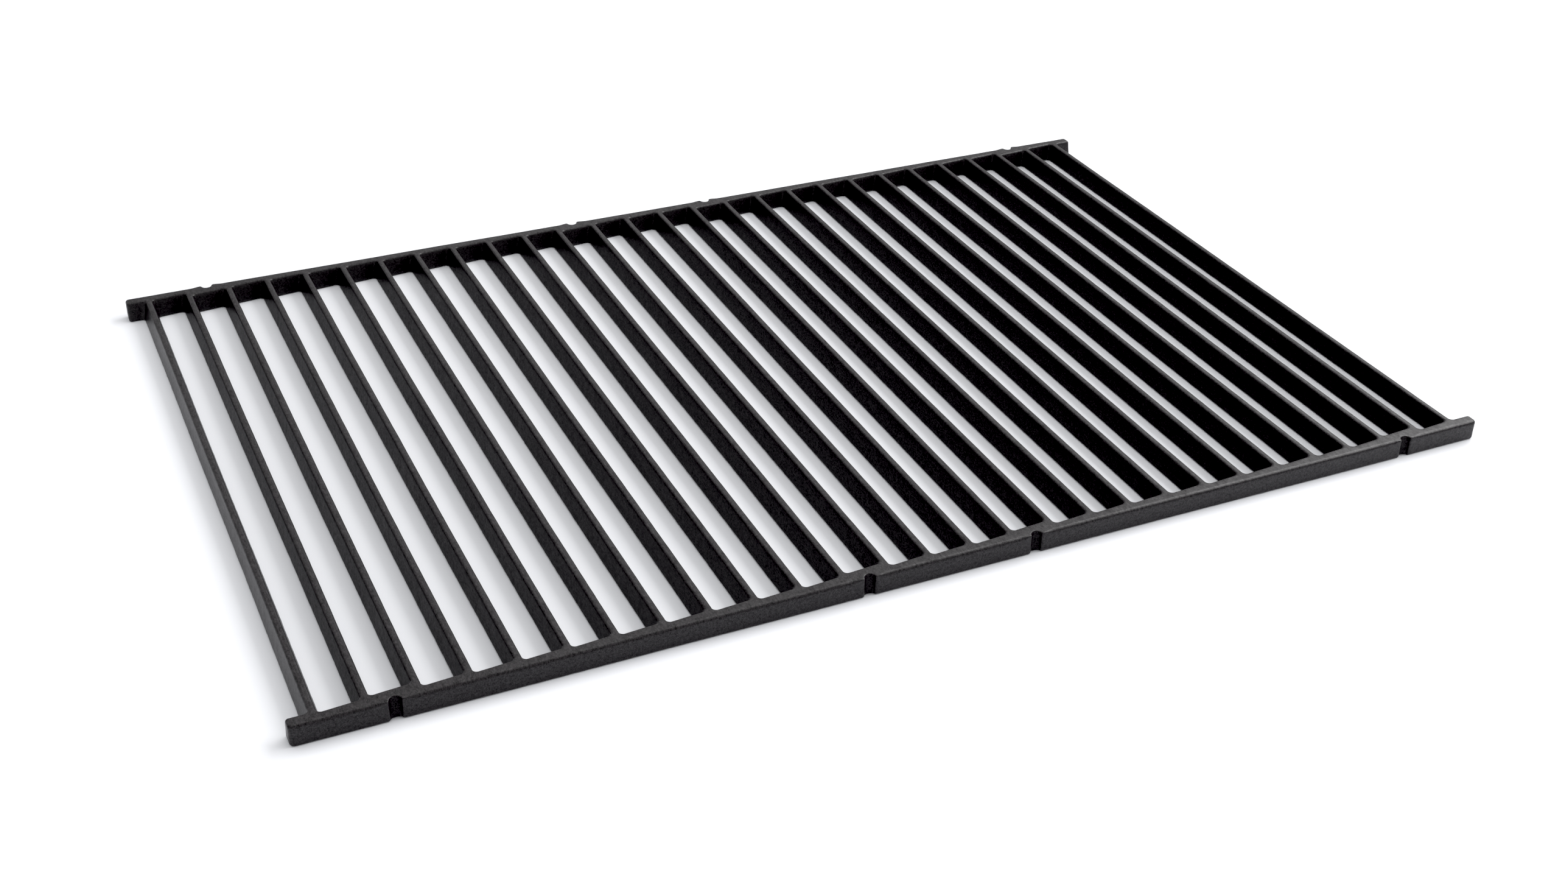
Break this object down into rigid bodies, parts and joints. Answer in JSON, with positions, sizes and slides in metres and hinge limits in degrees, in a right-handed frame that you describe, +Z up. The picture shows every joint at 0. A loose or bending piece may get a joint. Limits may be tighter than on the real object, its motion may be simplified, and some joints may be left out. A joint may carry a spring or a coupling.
{
  "type": "cast-iron barbecue grate",
  "caption": "Flat rectangular cast-iron cooking grate of parallel drafted bars between two end rails with shallow locating notches.",
  "frame": {"origin": "middle of the underside, on the surface the grate lies on", "axes": "+X along the rails, +Y along the bars towards the rear rail, +Z up"},
  "size_m": [0.485, 0.316, 0.0084],
  "materials": {
    "enamelled_iron": "matt black enamel over a fine sand-cast grain"
  },
  "bodies": {
    "root": {"front_rail": "enamelled_iron", "rear_rail": "enamelled_iron", "bar_01": "enamelled_iron", "bar_02": "enamelled_iron", "bar_03": "enamelled_iron", "bar_04": "enamelled_iron", "bar_05": "enamelled_iron", "bar_06": "enamelled_iron", "bar_07": "enamelled_iron", "bar_08": "enamelled_iron", "bar_09": "enamelled_iron", "bar_10": "enamelled_iron", "bar_11": "enamelled_iron", "bar_12": "enamelled_iron", "bar_13": "enamelled_iron", "bar_14": "enamelled_iron", "bar_15": "enamelled_iron", "bar_16": "enamelled_iron", "bar_17": "enamelled_iron", "bar_18": "enamelled_iron", "bar_19": "enamelled_iron", "bar_20": "enamelled_iron", "bar_21": "enamelled_iron", "bar_22": "enamelled_iron", "bar_23": "enamelled_iron", "bar_24": "enamelled_iron", "bar_25": "enamelled_iron", "bar_26": "enamelled_iron", "bar_27": "enamelled_iron", "bar_28": "enamelled_iron"}
  },
  "joints": []
}
